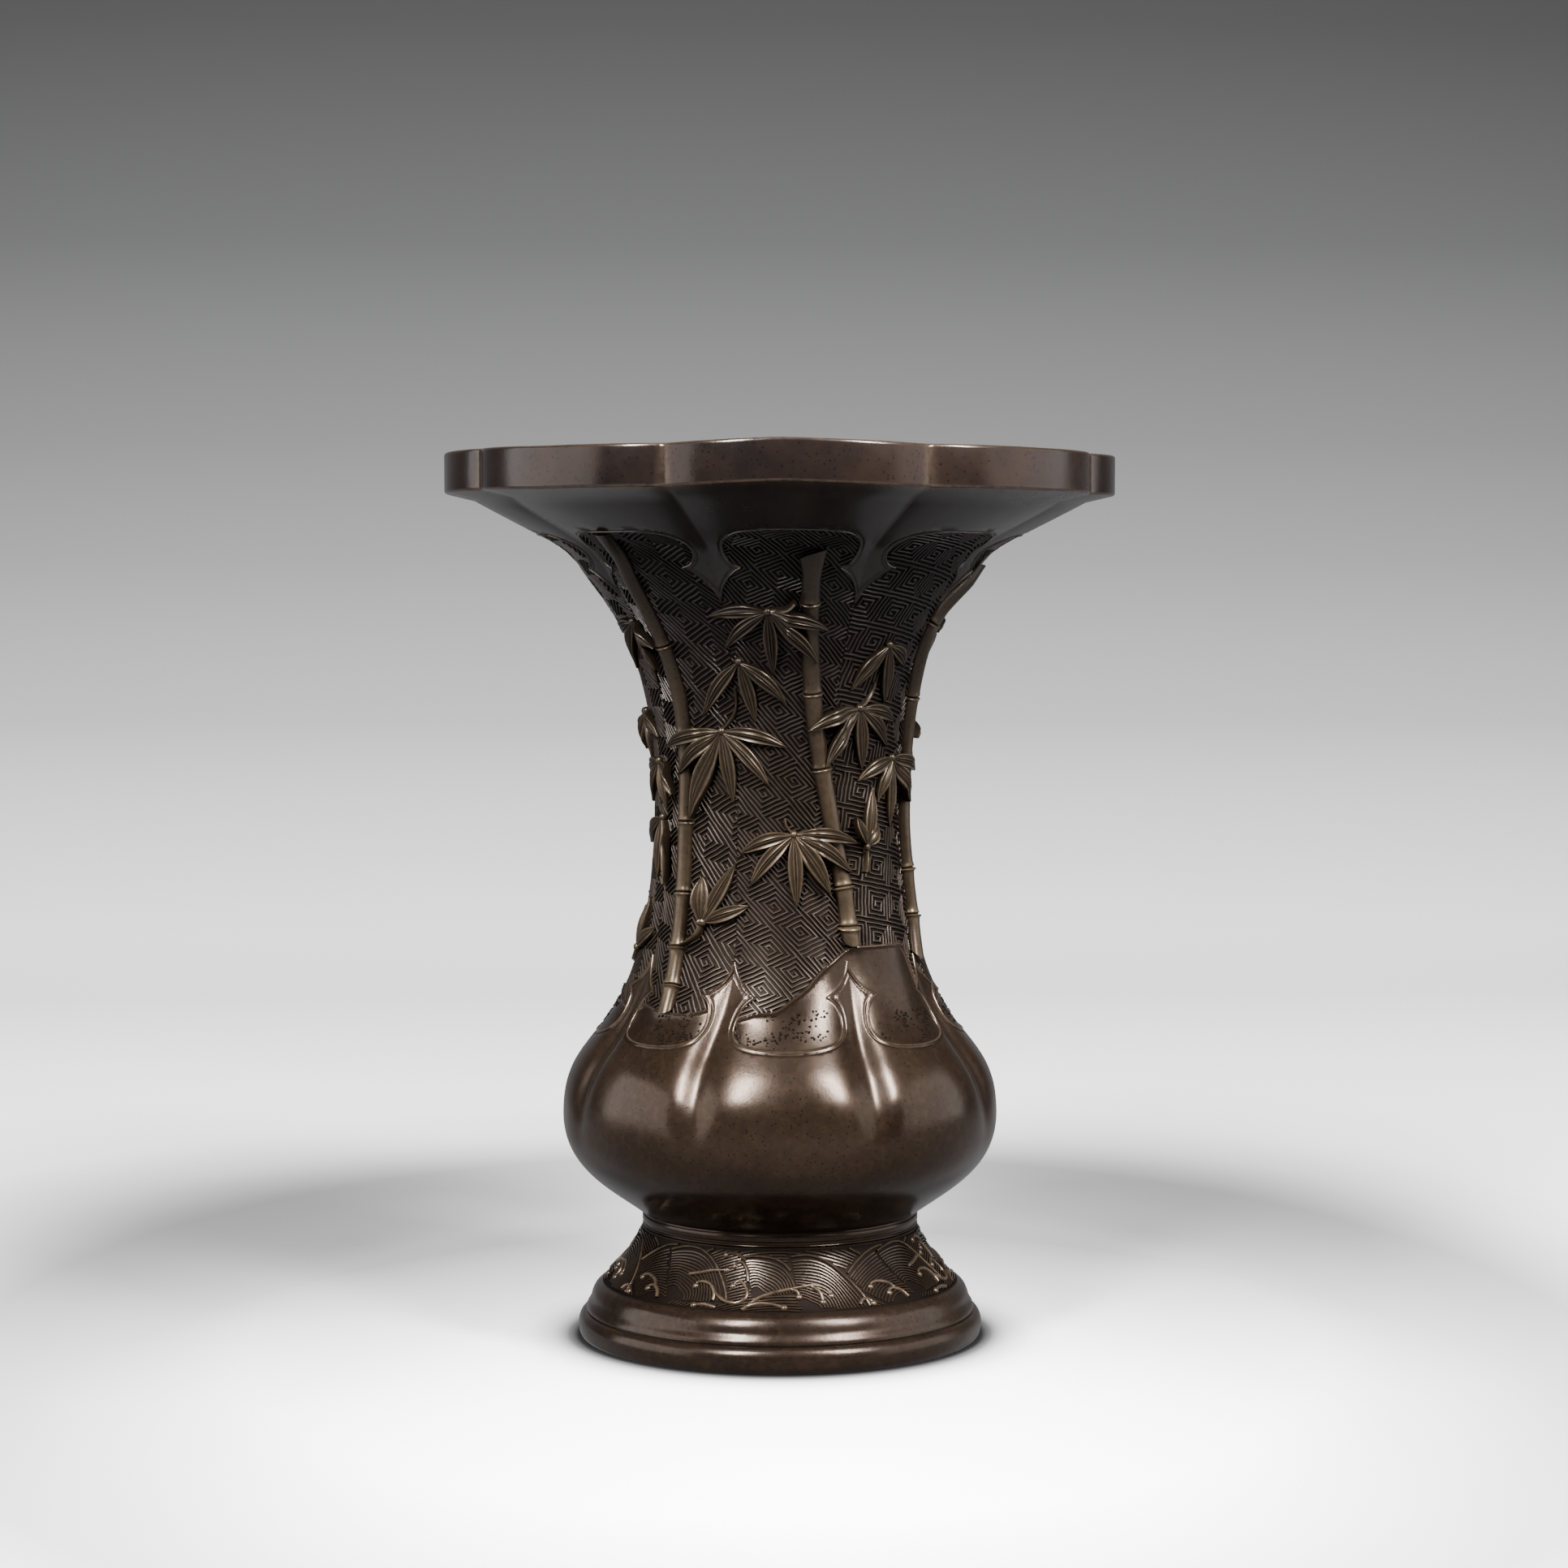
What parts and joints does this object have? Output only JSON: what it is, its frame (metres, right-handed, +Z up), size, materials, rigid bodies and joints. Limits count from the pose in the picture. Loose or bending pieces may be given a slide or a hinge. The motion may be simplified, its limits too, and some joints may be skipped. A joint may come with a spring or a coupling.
{
  "type": "baluster vase",
  "caption": "Bronze baluster vase with an eight-lobed flared mouth, bamboo relief on the neck and a moulded foot.",
  "frame": {"origin": "centre of the foot's rest ring, on the surface that the vase stands on", "axes": "+Z up through the mouth; the middle of the front lobe faces -Y; +X to the viewer's right"},
  "size_m": [0.226, 0.226, 0.3],
  "materials": {
    "body_bronze": "dark brown patina, satin",
    "foot_bronze": "red-brown patina, polished mouldings",
    "plate_bronze": "dull cast metal",
    "relief_bronze": "warm brown patina, rubbed on the high edges"
  },
  "bodies": {
    "root": {"vase_body": "body_bronze", "foot": "foot_bronze", "base_plate": "plate_bronze", "cane_front": "relief_bronze", "cane_left": "relief_bronze", "cane_right": "relief_bronze", "cane_back_left": "relief_bronze", "cane_back": "relief_bronze", "cane_back_right": "relief_bronze", "spray_01": "relief_bronze", "spray_02": "relief_bronze", "spray_03": "relief_bronze", "spray_04": "relief_bronze", "spray_05": "relief_bronze", "spray_06": "relief_bronze", "spray_07": "relief_bronze", "spray_08": "relief_bronze", "spray_09": "relief_bronze", "spray_10": "relief_bronze", "spray_11": "relief_bronze", "spray_12": "relief_bronze", "spray_13": "relief_bronze", "spray_14": "relief_bronze", "spray_15": "relief_bronze", "spray_16": "relief_bronze", "spray_17": "relief_bronze", "spray_18": "relief_bronze", "spray_19": "relief_bronze", "spray_20": "relief_bronze", "spray_21": "relief_bronze", "spray_22": "relief_bronze", "spray_23": "relief_bronze"}
  },
  "joints": []
}
